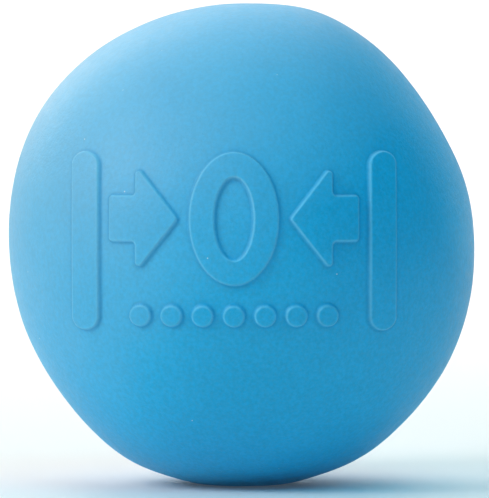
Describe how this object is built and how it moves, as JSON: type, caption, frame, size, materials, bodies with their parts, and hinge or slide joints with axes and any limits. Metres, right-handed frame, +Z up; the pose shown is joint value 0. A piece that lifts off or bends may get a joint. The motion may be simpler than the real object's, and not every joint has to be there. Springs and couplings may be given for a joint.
{
  "type": "stress ball",
  "caption": "Large soft squeeze ball: a thick moulded rubber skin round a dough filling, with a raised squeeze pictogram in front and a glued rubber plug behind.",
  "frame": {"origin": "middle of the small flat that the ball rests on", "axes": "+Z up, -Y towards the front with the raised pictogram, +X to the right of someone who looks at the front"},
  "size_m": [0.0999, 0.0984, 0.1027],
  "materials": {
    "skin_rubber": "matte blue thermoplastic rubber, slightly powdery, fine moulded grain",
    "dough": "dense off-white dough",
    "plug_rubber": "satin blue rubber",
    "adhesive": "glossy, clear to milky cured adhesive"
  },
  "bodies": {
    "ball": {"outer_skin": "skin_rubber", "filling": "dough"},
    "closure": {"fill_plug": "plug_rubber", "plug_adhesive": "adhesive"}
  },
  "joints": [
    {"name": "squeeze", "type": "slide", "parent": "ball", "child": "closure", "axis": [0, -1, 0], "range_m": [0, 0.014], "stiffness_N_per_m": 1500, "deforming": ["outer_skin", "filling"]}
  ]
}
